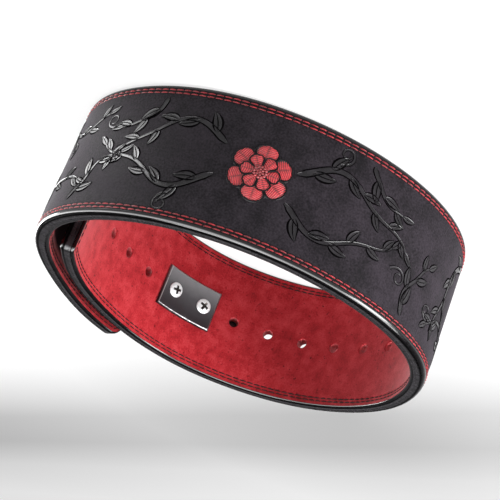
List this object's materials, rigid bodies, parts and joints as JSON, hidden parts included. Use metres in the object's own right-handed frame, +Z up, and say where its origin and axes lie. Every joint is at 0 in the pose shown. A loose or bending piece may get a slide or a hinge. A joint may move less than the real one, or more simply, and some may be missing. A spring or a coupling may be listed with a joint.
{
  "type": "weightlifting belt",
  "caption": "Wide stiff leather belt closed into a loop by a lever buckle, with a row of adjusting holes, suede lining and an embroidered flower.",
  "frame": {"origin": "under the middle of the closed loop, in the plane of the edge that it rests on", "axes": "+Z up across the belt's width, -Y towards the front with the flower, +X towards the overlap"},
  "size_m": [0.289, 0.294, 0.1],
  "materials": {
    "edge_leather": "black edge paint over thick dyed leather, glossy, slightly ribbed along the edge",
    "cover_nubuck": "charcoal nubuck with a fine nap and a pressed glossy leaf pattern",
    "lining_suede": "red suede with a brushed, clouded nap",
    "red_thread": "red satin stitch embroidery with dark outlines",
    "black_steel": "black satin powder coat on steel",
    "bright_steel": "bright zinc plated steel, lightly brushed"
  },
  "bodies": {
    "root": {"core": "edge_leather", "outer_cover": "cover_nubuck", "lining": "lining_suede", "blossom_emblem": "red_thread", "backing_plate": "black_steel", "screw_1": "bright_steel", "screw_2": "bright_steel", "lever_buckle": "black_steel"}
  },
  "joints": []
}
